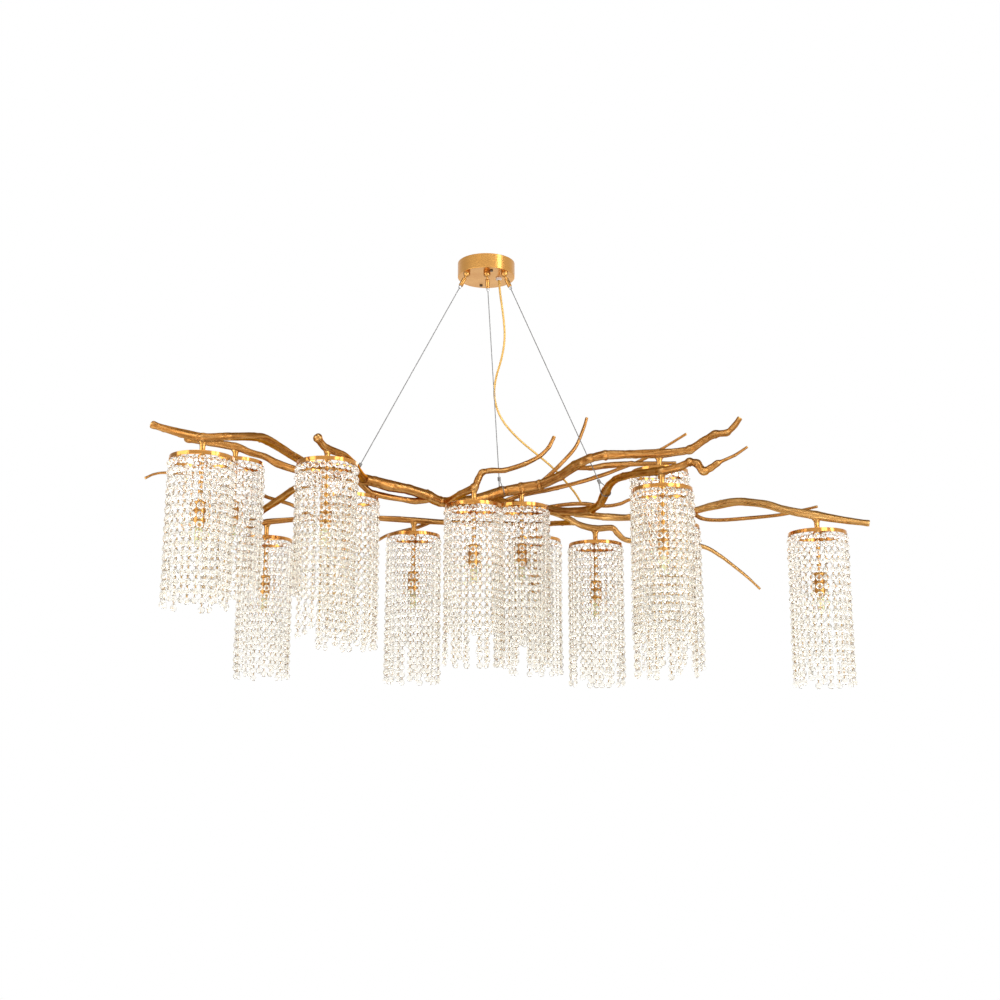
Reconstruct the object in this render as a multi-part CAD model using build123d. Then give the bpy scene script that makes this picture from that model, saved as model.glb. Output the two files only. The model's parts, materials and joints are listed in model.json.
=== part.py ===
from build123d import *
import math
import os

os.makedirs("parts", exist_ok=True)

# Lengths are millimetres. The ceiling is the plane z = 0, the canopy's centre is the origin,
# +X runs along the chandelier to the viewer's right and the viewer stands on the -Y side.

# Canopy and ceiling plate
CANOPY_D = 128.0
CANOPY_H = 33.0
CANOPY_WALL = 1.6
CANOPY_EDGE_R = 1.2
PLATE_CLEARANCE = 4.4
PLATE_D = CANOPY_D - 2 * CANOPY_WALL - 2 * PLATE_CLEARANCE
PLATE_T = 2.0
SLOT_SPACING = 60.0
SLOT_LENGTH = 18.0
SLOT_W = 5.0
WIRE_HOLE_D = 14.0
POST_D = 9.0
POST_CIRCLE_R = 47.0
POST_FIRST_ANGLE = 15.0
POST_COUNT = 4
SCREW_D = 4.0
SCREW_HOLE_D = 4.5
SCREW_HEAD_D = 7.0
SCREW_HEAD_T = 2.2
SCREW_DEPTH = 12.0
BLOCK_L = 34.0
BLOCK_W = 16.0
BLOCK_T = 14.0
BLOCK_Y = 22.0
BLOCK_WIRE_HOLE_D = 3.6
BLOCK_POLES = 3

# Swivel grippers: their balls lie on one line along X, which the frame swings about
SWING_INSET = 29.0
BALL_DROP = 7.0
SWING_Y = SWING_INSET - CANOPY_D / 2
SWING_Z = -CANOPY_H - BALL_DROP
GRIPPER_X = (-43.0, 2.0, 41.0)
BALL_D = 12.0
CUP_D = 16.0
CUP_BELOW_BALL = 3.2
RUNNING_GAP = 0.3
NECK_D = 5.0
BARREL_START = 10.0
BARREL_D = 10.0
BARREL_LENGTH = 20.0
COLLET_D = 6.4
COLLET_LENGTH = 14.0
COLLET_OUT = 6.0
COLLET_TRAVEL = 3.0
WIRE_D = 2.0
WIRE_CLEARANCE = 0.5
COLLET_BORE_D = WIRE_D + 2 * WIRE_CLEARANCE
WIRE_IN_BARREL = 4.0

# A loop round a limb ends each wire, closed by a short pressed-on stud.
# Each foot: the limb, which of its points the loop is near, and how far past that point
WIRE_FEET = (
    ("trunk_left", 2, 5.0),
    ("trunk_right", 3, 0.0),
    ("right_zigzag", 2, 0.0),
)
LOOP_GAP = 0.4
LEG_GAP = 0.8
STUD_WALL = 1.1
STUD_WEB = 1.0
STUD_ABOVE_LIMB = 18.0
WIRE_STUD_D = 2 * WIRE_D + LEG_GAP + 2 * STUD_WALL
WIRE_STUD_LENGTH = 9.0

# Power cord and its gland
CORD_D = 5.0
ARC_SHARE = 0.45
GLAND_X = 28.0
GLAND_Y = 2.0
GLAND_D = 10.0
GLAND_FLANGE_D = 14.0
GLAND_FLANGE_T = 5.0
GLAND_INSIDE = 6.0
CORD_TAIL = 1.4
CORD_ROUTE = (
    (GLAND_X, GLAND_Y, CANOPY_WALL - CANOPY_H + GLAND_INSIDE + CORD_TAIL),
    (30.0, 5.0, -62.0),
    (38.0, 14.0, -112.0),
    (43.0, 24.0, -165.0),
    (35.0, 34.0, -213.0),
    (20.0, 45.0, -257.0),
    (17.0, 55.0, -300.0),
    (33.0, 68.0, -345.0),
    (72.0, 84.0, -386.0),
    (117.0, 100.0, -419.0),
    (155.0, 114.0, -448.0),
    (186.0, 130.0, -480.0),
    (207.0, 143.0, -503.0),
    (217.0, 150.0, -521.0),
)

# Shade: a ring on a stem, its strands of beads, and the lamp inside
RING_D = 120.0
RING_H = 8.0
RING_WALL = 1.6
STRAP_W = 10.0
STRAP_T = 3.0
HUB_D = 20.0
STEM_D = 11.0
STEM_REACH = 60.0
SHOULDER_D = 16.0
SHOULDER_T = 4.0
ROD_D = 9.4
ROD_BELOW_RING = 84.0
ROD_IN_HOLDER = 8.0
NUT_ACROSS = 15.0
NUT_T = 5.0
HOLDER_D = 25.0
HOLDER_H = 48.0
HOLDER_RECESS = 12.0
BULB_D = 15.0
BULB_OUT = 38.0
STRANDS = 26
BEAD_W = 13.0
BEAD_T = 6.0
BEAD_NECK_W = 3.0
BEAD_PITCH = 17.4
BEADS_PER_LOZENGE = 2
HEM_RIPPLE = 3

# Each shade: x, y, the ring's top, the limb it hangs from, its strap's angle, the fewest and
# most beads on a strand, and the lanes, counted from the left, in which strands have the fewest
SHADES = (
    (-525.0, -420.0, -555.0, "left_upper", 20.0, 15, 16, (3, 5, 8, 12)),
    (-530.0, -85.0, -482.0, "left_lower", 70.0, 15, 16, (4, 8, 10)),
    (-312.0, -262.0, -526.0, "front_stub", 35.0, 15, 20, (0, 1, 2, 4, 7, 11)),
    (-285.0, -86.0, -558.0, "trunk_left", 110.0, 14, 18, (3, 7)),
    (-507.0, 195.0, -595.0, "back_bar", 160.0, 14, 18, (3, 6)),
    (-166.0, 170.0, -590.0, "back_bar", 55.0, 14, 19, (5, 11)),
    (-24.0, -85.0, -575.0, "centre_twig", 95.0, 15, 19, (2, 6, 9)),
    (79.0, 70.0, -545.0, "trunk_right", 10.0, 17, 20, (2, 6)),
    (115.0, 295.0, -577.0, "back_bar", 130.0, 14, 18, (3, 4, 8)),
    (247.0, 145.0, -615.0, "right_low", 75.0, 14, 18, (3, 9)),
    (366.0, -105.0, -506.0, "trunk_right", 40.0, 17, 20, (2, 5, 9)),
    (352.0, -258.0, -579.0, "right_zigzag", 150.0, 17, 21, (2, 6, 9, 10)),
    (414.0, 85.0, -586.0, "right_long", 25.0, 15, 18, (4, 5, 8, 9)),
    (692.0, -100.0, -636.0, "right_long", 120.0, 15, 18, (4, 7)),
)

# Limbs of the branch frame: hand-chosen points along each run, each with the limb's thickness.
# A limb is coped round the limbs named after its own name, which it is brazed to.
LIMBS = {
    "trunk_left": (
        (),
        (
            (-335, -92, -503, 19),
            (-307, -90, -508, 22),
            (-276, -86, -517, 26),
            (-234, -75, -522, 22),
            (-203, -60, -527, 24),
            (-162, -45, -532, 21),
            (-120, -25, -543, 23),
            (-97, -10, -550, 22),
            (-60, 8, -550, 20),
        ),
    ),
    "trunk_right": (
        ("trunk_left",),
        (
            (-75, 2, -551, 18),
            (-40, 20, -542, 21),
            (-2, 40, -529, 22),
            (35, 61.5, -513, 23),
            (79, 70, -504, 25),
            (120, 60, -497, 22),
            (163, 22, -486, 20),
            (194, -20, -473, 21),
            (224, -52, -465, 18),
            (255, -70, -462, 20),
            (306, -92, -466, 17),
            (366, -105, -468, 20),
            (398, -115, -467, 16),
            (429, -125, -464, 17),
            (460, -130, -444, 14),
            (480, -135, -433, 15),
            (505, -140, -431, 13),
            (521, -145, -416, 12),
            (531, -150, -402, 10),
        ),
    ),
    "trunk_low": (
        ("trunk_right",),
        (
            (-5, 40, -531, 17),
            (42, 112, -526, 18),
            (88, 150, -526, 18),
            (134, 150, -533, 19),
            (166, 120, -544, 18),
            (198, 90, -552, 19),
            (236, 58, -555, 17),
        ),
    ),
    "left_upper": (
        ("trunk_left",),
        (
            (-627, -400, -486, 13),
            (-582, -405, -501, 15),
            (-525, -420, -517, 18),
            (-482, -402, -510, 15),
            (-441, -350, -496, 16),
            (-423, -310, -492, 19),
            (-399, -260, -499, 17),
            (-366, -200, -510, 17),
            (-325, -145, -515, 16),
            (-294, -95, -513, 16),
        ),
    ),
    "left_lower": (
        ("trunk_left",),
        (
            (-636, -80, -429, 12),
            (-585, -85, -439, 14),
            (-530, -85, -448, 17),
            (-499, -84, -460, 14),
            (-468, -82, -469, 14),
            (-440, -84, -484, 16),
            (-395, -92, -500, 15),
            (-350, -93, -503, 15),
            (-325, -92, -504, 15),
        ),
    ),
    "left_second": (
        ("trunk_left",),
        (
            (-266, -84, -522, 12),
            (-250, -72, -538, 12),
            (-235, -62, -545, 14),
            (-183, -40, -551, 12),
            (-150, -28, -553, 13),
            (-120, -22, -546, 12),
        ),
    ),
    "left_fork": (
        ("trunk_left", "left_lower", "back_bar"),
        (
            (-300, -84, -510, 15),
            (-355, -40, -511, 14),
            (-416, 10, -517, 15),
            (-458, 60, -530, 16),
            (-503, 115, -542, 15),
            (-532, 165, -550, 14),
            (-545, 200, -559, 13),
        ),
    ),
    "front_stub": (
        ("trunk_left",),
        (
            (-330, -285, -479, 13),
            (-321, -275, -491, 14),
            (-312, -262, -497, 16),
            (-285, -222, -500, 14),
            (-270, -180, -506, 14),
            (-262, -130, -514, 15),
            (-256, -88, -518, 15),
        ),
    ),
    "back_bar": (
        ("right_low",),
        (
            (-556, 204, -564, 12),
            (-507, 195, -554, 14),
            (-445, 182, -551, 12),
            (-347, 172, -547, 13),
            (-253, 168, -550, 12),
            (-166, 170, -555, 14),
            (-98, 192, -555, 12),
            (31, 255, -547, 13),
            (115, 295, -541, 14),
            (160, 240, -548, 12),
            (190, 175, -560, 12),
            (198, 142, -564, 12),
        ),
    ),
    "centre_twig": (
        ("trunk_left", "trunk_right"),
        (
            (-84, 0, -551, 15),
            (-54, -55, -544, 15),
            (-24, -85, -536, 16),
            (-14, -86, -516, 14),
            (-6, -86, -503, 13),
            (14, -85, -499, 12),
            (42, -80, -497, 11),
            (84, -75, -482, 10),
            (116, -70, -464, 9),
            (136, -68, -443, 8),
            (147, -65, -420, 7),
        ),
    ),
    "right_thin": (
        ("trunk_low",),
        (
            (46, 114, -521, 9),
            (80, 112, -509, 9),
            (145, 92, -500, 10),
            (209, 72, -488, 9),
            (257, 52, -477, 9),
            (290, 40, -467, 8),
            (339, 25, -451, 7),
            (387, 15, -426, 6),
            (440, 5, -395, 5),
        ),
    ),
    "right_zigzag": (
        ("trunk_low",),
        (
            (228, 66, -555, 14),
            (249, 12, -550, 17),
            (258, -30, -533, 20),
            (264, -56, -524, 16),
            (273, -92, -521, 15),
            (287, -138, -525, 16),
            (314, -195, -532, 15),
            (352, -258, -542, 17),
            (386, -275, -538, 14),
            (405, -280, -529, 15),
            (419, -283, -533, 14),
            (429, -287, -549, 14),
            (445, -290, -543, 13),
            (458, -293, -534, 12),
            (466, -293.8, -530.5, 6.5),
            (492, -296, -519, 6),
            (516, -298, -503, 5),
        ),
    ),
    "right_low": (
        ("trunk_low",),
        (
            (138, 148, -535, 13),
            (178, 141, -553, 14),
            (212, 142, -571, 13),
            (247, 145, -579, 15),
            (285, 148, -577, 13),
            (299, 152, -590, 13),
            (322, 158, -604, 12),
            (395, 176, -604, 11),
            (490, 176, -614, 10),
            (534, 180, -636, 8),
            (567, 183, -661, 7),
            (597, 185, -686, 6),
            (623, 187, -711, 5),
        ),
    ),
    "right_long": (
        ("trunk_low", "right_zigzag"),
        (
            (198, 90, -554, 14),
            (236, 88, -561, 15),
            (271, 77, -567, 16),
            (320, 76, -568, 14),
            (367, 82, -560, 15),
            (414, 85, -555, 17),
            (461, 65, -555, 15),
            (493, 45, -550, 17),
            (532, 15, -547, 18),
            (561, -5, -550, 16),
            (599, -35, -562, 17),
            (634, -65, -580, 16),
            (692, -100, -600, 18),
            (756, -120, -615, 14),
            (793, -130, -622, 12),
        ),
    ),
}

# Thin twigs, each brazed to the limb named first. The cord ends in the back of the cord twig.
SIDE_TWIGS = {
    "upright_twig": (
        "trunk_right",
        (
            (118, 62, -497, 10),
            (140, 63, -475, 9),
            (165, 65, -450, 9),
            (199, 70, -410, 8),
            (218, 75, -367, 7),
            (227, 78, -338, 6),
        ),
    ),
    "lens_twig": (
        "trunk_right",
        (
            (188, -13, -475, 9),
            (229, 20, -468, 11),
            (261, 12, -465, 13),
            (304, 2, -464, 12),
            (352, -15, -467, 10),
            (410, -34, -470, 6),
        ),
    ),
    "long_tip": (
        "right_long",
        (
            (455, 68, -555, 8),
            (474, 42, -577, 8),
            (511, 25, -584, 8),
            (574, 10, -582, 8),
            (637, -20, -581, 7),
            (677, -45, -576, 6),
            (704, -60, -572, 5),
        ),
    ),
    "cord_twig": (
        "trunk_low",
        (
            (138, 151, -531, 9),
            (165, 152, -524, 8),
            (195, 150, -521, 9),
            (225, 150, -521, 9),
            (273, 150, -526, 8),
            (305, 150, -521, 8),
            (325, 150, -512, 7),
            (362, 146, -501, 6),
        ),
    ),
    "far_left_twig": (
        "back_bar",
        (
            (-398, 177, -548, 8),
            (-438, 148, -526, 8),
            (-468, 116, -521, 8),
            (-494, 80, -518, 8),
            (-540, 30, -500, 7),
            (-598, 0, -490, 7),
            (-683, -30, -491, 6),
            (-712, -35, -495, 5),
            (-731, -40, -505, 5),
        ),
    ),
    "back_twig": (
        "back_bar",
        (
            (-130, 182, -556, 8),
            (-161, 198, -567, 8),
            (-194, 214, -571, 7),
            (-230, 225, -579, 7),
            (-252, 230, -590, 6),
        ),
    ),
}


def save(name, shapes):
    """Write one sub-part: a single solid, or a group of separate solids."""
    solids = [solid for shape in shapes for solid in shape.solids()]
    group = solids[0] if len(solids) == 1 else Compound(children=solids)
    export_step(group, f"parts/{name}.step", write_pcurves=False)


def disc(diameter, low, high, x=0.0, y=0.0):
    """An upright cylinder between two heights."""
    return Pos(x, y, low) * Cylinder(
        diameter / 2, high - low, align=(Align.CENTER, Align.CENTER, Align.MIN)
    )


def rod_along(start, way, diameter, near, far):
    """A cylinder along a direction, between two distances from its start point."""
    plane = Plane(origin=start + way * near, z_dir=way)
    return plane * Cylinder(diameter / 2, far - near, align=(Align.CENTER, Align.CENTER, Align.MIN))


def largest(shape):
    return max(shape.solids(), key=lambda solid: solid.volume)


def lowest(shape):
    return min(shape.solids(), key=lambda solid: solid.bounding_box().min.Z)


def halfway(before, start, end, after):
    """The point midway along a smooth curve from start to end, with its thickness."""
    return tuple((9 * (b + c) - a - d) / 16 for a, b, c, d in zip(before, start, end, after))


def smoothed(points):
    """The hand-chosen points with a curved halfway point between each two."""
    ends = (points[0], *points, points[-1])
    run = [points[0]]
    for quad in zip(ends, ends[1:], ends[2:], ends[3:]):
        run.append(halfway(*quad))
        run.append(quad[2])
    return run


def limb_solid(points):
    """Round sections set square to the run and joined one to the next."""
    run = smoothed(points)
    spots = [Vector(*point[:3]) for point in run]
    sections = []
    for index, spot in enumerate(spots):
        before = spots[max(index - 1, 0)]
        after = spots[min(index + 1, len(spots) - 1)]
        way = (after - before).normalized()
        up = Vector(0, 0, 1)
        plane = Plane(origin=spot, x_dir=up - way * up.dot(way), z_dir=way)
        sections.append(plane * Circle(run[index][3] / 2))
    return loft(sections, ruled=True).solid()


def build_limbs():
    """All limbs, each cut back from the limbs that it is brazed to."""
    whole = {name: limb_solid(points) for name, (_, points) in LIMBS.items()}
    coped = {}
    for name, (carriers, _) in LIMBS.items():
        shape = whole[name]
        for carrier in carriers:
            shape = largest(shape - whole[carrier])
        coped[name] = shape
    return whole, coped


def side_twigs(whole):
    twigs = {}
    for name, (carrier, points) in SIDE_TWIGS.items():
        twigs[name] = largest(limb_solid(points) - whole[carrier])
    return twigs


def post_places():
    for index in range(POST_COUNT):
        angle = math.radians(POST_FIRST_ANGLE + index * 360 / POST_COUNT)
        yield POST_CIRCLE_R * math.cos(angle), POST_CIRCLE_R * math.sin(angle)


def ceiling_plate():
    """Steel plate on the ceiling, with posts that reach the canopy's floor."""
    plate = disc(PLATE_D, -PLATE_T, 0)
    for side in (-1, 1):
        slot = Pos(side * SLOT_SPACING / 2, 0, -PLATE_T) * SlotOverall(SLOT_LENGTH, SLOT_W)
        plate -= extrude(slot, PLATE_T)
    plate -= disc(WIRE_HOLE_D, -PLATE_T, 0)
    floor_top = CANOPY_WALL - CANOPY_H
    for x, y in post_places():
        plate += disc(POST_D, floor_top, -PLATE_T, x, y)
        plate -= disc(SCREW_D, floor_top, floor_top + SCREW_DEPTH, x, y)
    return plate


def canopy_shell():
    """Round cup, open to the ceiling, with its floor drilled for the screws and the cord."""
    cup = disc(CANOPY_D, -CANOPY_H, 0)
    cup = fillet(cup.edges().group_by(Axis.Z)[0], CANOPY_EDGE_R)
    cup -= disc(CANOPY_D - 2 * CANOPY_WALL, CANOPY_WALL - CANOPY_H, 0)
    for x, y in post_places():
        cup -= disc(SCREW_HOLE_D, -CANOPY_H, 0, x, y)
    cup -= disc(GLAND_D, -CANOPY_H, 0, GLAND_X, GLAND_Y)
    return cup


def canopy_screws():
    screws = []
    for x, y in post_places():
        head = disc(SCREW_HEAD_D, -CANOPY_H - SCREW_HEAD_T, -CANOPY_H, x, y)
        shank_top = CANOPY_WALL - CANOPY_H + SCREW_DEPTH
        screws.append(head + disc(SCREW_D, -CANOPY_H, shank_top, x, y))
    return screws


def terminal_block():
    """Nylon block under the plate, with a wire hole through it for each pole."""
    block = Pos(0, BLOCK_Y, -PLATE_T - BLOCK_T / 2) * Box(BLOCK_L, BLOCK_W, BLOCK_T)
    for pole in range(BLOCK_POLES):
        x = (pole - (BLOCK_POLES - 1) / 2) * BLOCK_L / BLOCK_POLES
        hole = Pos(x, BLOCK_Y, -PLATE_T - BLOCK_T / 2) * Rot(90, 0, 0)
        block -= hole * Cylinder(BLOCK_WIRE_HOLE_D / 2, BLOCK_W)
    return block


def cord_gland():
    floor_top = CANOPY_WALL - CANOPY_H
    bush = disc(GLAND_D, -CANOPY_H, floor_top + GLAND_INSIDE, GLAND_X, GLAND_Y)
    bush += disc(GLAND_FLANGE_D, -CANOPY_H - GLAND_FLANGE_T, -CANOPY_H, GLAND_X, GLAND_Y)
    return bush


def cord_path():
    """Straight runs joined by arcs as large as the runs allow."""
    spots = [Vector(*spot) for spot in CORD_ROUTE]
    runs = [after - before for before, after in zip(spots, spots[1:])]
    radii = []
    for run, following in zip(runs, runs[1:]):
        half_turn = math.radians(run.get_angle(following)) / 2
        radii.append(ARC_SHARE * min(run.length, following.length) / math.tan(half_turn))
    print("cord radii", [round(radius) for radius in radii])
    return FilletPolyline(*spots, radius=radii)


def power_cord(whole_twig):
    path = cord_path()
    tube = sweep(Plane(origin=path @ 0, z_dir=path % 0) * Circle(CORD_D / 2), path=path)
    section = math.pi * CORD_D**2 / 4
    print("cord volume ratio", round(tube.volume / (section * path.length), 4))
    return largest(tube - whole_twig)


def wire_lines():
    """For each wire: its ball's centre, its direction, its length to the stud, and its loop."""
    for x, (limb, index, past) in zip(GRIPPER_X, WIRE_FEET):
        ball = Vector(x, SWING_Y, SWING_Z)
        points = LIMBS[limb][1]
        before, spot, after = (Vector(*point[:3]) for point in points[index - 1 : index + 2])
        along = (after - before).normalized()
        foot = spot + (after - spot).normalized() * past
        plane = Plane(origin=foot, x_dir=(ball - foot).cross(along), z_dir=along)
        limb_r = points[index][3] / 2
        run = foot + plane.y_dir * (limb_r + STUD_ABOVE_LIMB) - ball
        yield ball, run.normalized(), run.length, (plane, limb_r)


def wire_loop(plane, limb_r):
    """Two legs that run from the stud onto the limb and round under it."""
    radius = limb_r + LOOP_GAP + WIRE_D / 2
    top = Vector((WIRE_D + LEG_GAP) / 2, limb_r + STUD_ABOVE_LIMB - STUD_WEB)
    turn = math.atan2(top.Y, top.X) - math.acos(radius / top.length)
    side = Vector(radius * math.cos(turn), radius * math.sin(turn))
    far_top = Vector(-top.X, top.Y)
    far_side = Vector(-side.X, side.Y)
    under = ThreePointArc(side, (0, -radius), far_side)
    path = plane * (Line(top, side) + under + Line(far_side, far_top)).wire()
    return sweep(Plane(origin=path @ 0, z_dir=path % 0) * Circle(WIRE_D / 2), path=path)


def swivel_cups():
    cups = []
    for x in GRIPPER_X:
        cup = disc(CUP_D, SWING_Z - CUP_BELOW_BALL, -CANOPY_H, x, SWING_Y)
        cups.append(cup - Pos(x, SWING_Y, SWING_Z) * Sphere(BALL_D / 2 + RUNNING_GAP))
    return cups


def gripper_bodies():
    """A ball in the cup, a neck, and a barrel bored for the collet and the wire."""
    bodies = []
    barrel_end = BARREL_START + BARREL_LENGTH
    bore_d = COLLET_D + 2 * RUNNING_GAP
    bore_start = barrel_end + COLLET_OUT - COLLET_LENGTH - COLLET_TRAVEL - RUNNING_GAP
    for ball, way, _, _ in wire_lines():
        body = Pos(*ball) * Sphere(BALL_D / 2)
        body += rod_along(ball, way, NECK_D, 0, BARREL_START)
        body += rod_along(ball, way, BARREL_D, BARREL_START, barrel_end)
        body -= rod_along(ball, way, bore_d, bore_start, barrel_end)
        body -= rod_along(ball, way, WIRE_D, bore_start - WIRE_IN_BARREL, bore_start)
        bodies.append(body)
    return bodies


def collets():
    """Sprung release sleeves: pushed up into the barrel, each lets its wire go."""
    tip = BARREL_START + BARREL_LENGTH + COLLET_OUT
    sleeves = []
    for ball, way, _, _ in wire_lines():
        sleeve = rod_along(ball, way, COLLET_D, tip - COLLET_LENGTH, tip)
        sleeves.append(sleeve - rod_along(ball, way, COLLET_BORE_D, tip - COLLET_LENGTH, tip))
    return sleeves


def suspension_wires():
    wires = []
    barrel_end = BARREL_START + BARREL_LENGTH
    bore_start = barrel_end + COLLET_OUT - COLLET_LENGTH - COLLET_TRAVEL - RUNNING_GAP
    for ball, way, length, loop in wire_lines():
        wires.append(rod_along(ball, way, WIRE_D, bore_start - WIRE_IN_BARREL, length - STUD_WEB))
        wires.append(wire_loop(*loop))
    return wires


def wire_studs():
    """The studs that hold each wire's end and both legs of its loop."""
    studs = []
    for ball, way, length, loop in wire_lines():
        top = length - WIRE_STUD_LENGTH / 2
        stud = rod_along(ball, way, WIRE_STUD_D, top, top + WIRE_STUD_LENGTH)
        stud -= rod_along(ball, way, WIRE_D, top, length - STUD_WEB)
        studs.append(largest(stud - wire_loop(*loop)))
    return studs


def stem(x, y, ring_top, limb):
    """Hangs from its limb, with a shoulder over the ring and a rod down to the lamp holder."""
    shoulder_low = ring_top + RUNNING_GAP
    shape = disc(STEM_D, shoulder_low, ring_top + STEM_REACH, x, y)
    shape += disc(SHOULDER_D, shoulder_low, shoulder_low + SHOULDER_T, x, y)
    shape += disc(ROD_D, ring_top - ROD_BELOW_RING - ROD_IN_HOLDER, shoulder_low, x, y)
    return lowest(shape - limb)


def ring(x, y, ring_top, strap_angle):
    """A thin band with a strap across it and a hub that turns on the rod."""
    band = disc(RING_D, ring_top - RING_H, ring_top, x, y)
    band -= disc(RING_D - 2 * RING_WALL, ring_top - RING_H, ring_top, x, y)
    strap = Pos(x, y, ring_top - STRAP_T / 2) * Rot(0, 0, strap_angle)
    band += strap * Box(RING_D - RING_WALL, STRAP_W, STRAP_T)
    band += disc(HUB_D, ring_top - STRAP_T, ring_top, x, y)
    return band - disc(ROD_D + 2 * RUNNING_GAP, ring_top - RING_H, ring_top, x, y)


def hub_nut(x, y, ring_top):
    top = ring_top - STRAP_T - RUNNING_GAP
    blank = Pos(x, y, top - NUT_T) * RegularPolygon(NUT_ACROSS / 2, 6, major_radius=False)
    return extrude(blank, NUT_T) - disc(ROD_D, top - NUT_T, top, x, y)


def lamp_holder(x, y, ring_top):
    top = ring_top - ROD_BELOW_RING
    body = disc(HOLDER_D, top - HOLDER_H, top, x, y)
    body -= disc(ROD_D, top - ROD_IN_HOLDER, top, x, y)
    return body - disc(BULB_D + 2 * RUNNING_GAP, top - HOLDER_H, top - HOLDER_H + HOLDER_RECESS, x, y)


def bulb(x, y, ring_top):
    """Small capsule bulb, pushed up to the floor of the holder's recess."""
    mouth = ring_top - ROD_BELOW_RING - HOLDER_H
    shape = disc(BULB_D, mouth - BULB_OUT, mouth + HOLDER_RECESS, x, y)
    return fillet(shape.edges().group_by(Axis.Z)[0], BULB_D / 3)


def strand(beads):
    """One hanging strand: a flat chain of lozenges, each as long as a few beads."""
    lozenges = round(beads / BEADS_PER_LOZENGE)
    step = beads * BEAD_PITCH / lozenges
    edge = []
    for index in range(lozenges):
        edge.append((BEAD_NECK_W / 2, -index * step))
        edge.append((BEAD_W / 2, -(index + 0.5) * step))
    edge.append((BEAD_NECK_W / 2, -lozenges * step))
    other_edge = [(-x, z) for x, z in reversed(edge)]
    outline = make_face(Polyline(*edge, *other_edge, close=True))
    return extrude(Plane.XZ * outline, BEAD_T / 2, both=True).solid()


def bead_count(shade, index, fewest, most, short_lanes):
    """A hem in fingers: strands in one lane, one behind the other from the front, are alike."""
    lane = math.floor(abs((index + STRANDS / 4) % STRANDS - STRANDS / 2))
    if lane in short_lanes:
        return fewest
    if (index + shade) % HEM_RIPPLE == 0:
        return most - 1
    return most


def bead_strands(shade, x, y, ring_top, fewest, most, short_lanes, made):
    strands = []
    for index in range(STRANDS):
        beads = bead_count(shade, index, fewest, most, short_lanes)
        place = Pos(x, y, ring_top - RING_H) * Rot(0, 0, index * 360 / STRANDS)
        strands.append(place * Pos(0, (RING_D - RING_WALL) / 2, 0) * made[beads])
    return strands


def build_shades(whole):
    counts = range(min(shade[5] for shade in SHADES), max(shade[6] for shade in SHADES) + 1)
    made = {beads: strand(beads) for beads in counts}
    stems, nuts, holders, bulbs = [], [], [], []
    for number, (x, y, top, limb, angle, fewest, most, short_lanes) in enumerate(SHADES, 1):
        save(f"ring_{number:02d}", [ring(x, y, top, angle)])
        save(f"beads_{number:02d}", bead_strands(number, x, y, top, fewest, most, short_lanes, made))
        stems.append(stem(x, y, top, whole[limb]))
        nuts.append(hub_nut(x, y, top))
        holders.append(lamp_holder(x, y, top))
        bulbs.append(bulb(x, y, top))
    save("stems", stems)
    save("hub_nuts", nuts)
    save("lamp_holders", holders)
    save("bulbs", bulbs)


whole_limbs, coped_limbs = build_limbs()
for limb_name, limb_shape in coped_limbs.items():
    save(limb_name, [limb_shape])
twigs = side_twigs(whole_limbs)
save("side_twigs", twigs.values())

save("ceiling_plate", [ceiling_plate()])
save("canopy_shell", [canopy_shell()])
save("canopy_screws", canopy_screws())
save("terminal_block", [terminal_block()])
save("swivel_cups", swivel_cups())
save("gripper_bodies", gripper_bodies())
for side, collet in zip(("left", "middle", "right"), collets()):
    save(f"collet_{side}", [collet])
save("suspension_wires", suspension_wires())
save("wire_studs", wire_studs())

cord = power_cord(twigs["cord_twig"])
save("power_cord", [cord])
save("cord_gland", [cord_gland() - cord])

build_shades(whole_limbs)
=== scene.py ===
"""Looks of the branch chandelier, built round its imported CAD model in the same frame, in metres."""
import json
import math
import random

import bpy
from mathutils import Matrix, Vector, noise


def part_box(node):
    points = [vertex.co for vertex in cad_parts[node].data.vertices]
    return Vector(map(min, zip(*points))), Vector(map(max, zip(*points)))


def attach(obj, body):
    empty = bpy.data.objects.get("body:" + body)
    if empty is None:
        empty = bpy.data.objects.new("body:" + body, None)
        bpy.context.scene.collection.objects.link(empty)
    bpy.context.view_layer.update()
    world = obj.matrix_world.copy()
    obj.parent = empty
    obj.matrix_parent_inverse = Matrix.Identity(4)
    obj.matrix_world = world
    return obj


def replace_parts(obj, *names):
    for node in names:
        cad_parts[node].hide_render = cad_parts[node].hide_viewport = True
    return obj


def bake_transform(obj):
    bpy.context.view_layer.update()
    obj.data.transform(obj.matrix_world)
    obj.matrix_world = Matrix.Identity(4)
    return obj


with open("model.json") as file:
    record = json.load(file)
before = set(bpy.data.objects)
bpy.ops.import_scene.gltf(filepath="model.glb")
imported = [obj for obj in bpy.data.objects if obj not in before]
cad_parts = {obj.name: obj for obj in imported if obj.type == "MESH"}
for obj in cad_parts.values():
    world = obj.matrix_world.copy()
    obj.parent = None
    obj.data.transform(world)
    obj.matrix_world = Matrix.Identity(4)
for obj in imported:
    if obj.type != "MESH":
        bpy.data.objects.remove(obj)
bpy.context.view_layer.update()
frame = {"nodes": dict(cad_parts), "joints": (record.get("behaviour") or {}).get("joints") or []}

MM = 0.001

# Camera that took the photograph
CAMERA_PLACE = (0.031, -2.883, -1.173)
CAMERA_PITCH = 12.3
CAMERA_LENS = 48.96
SENSOR = 36.0

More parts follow.
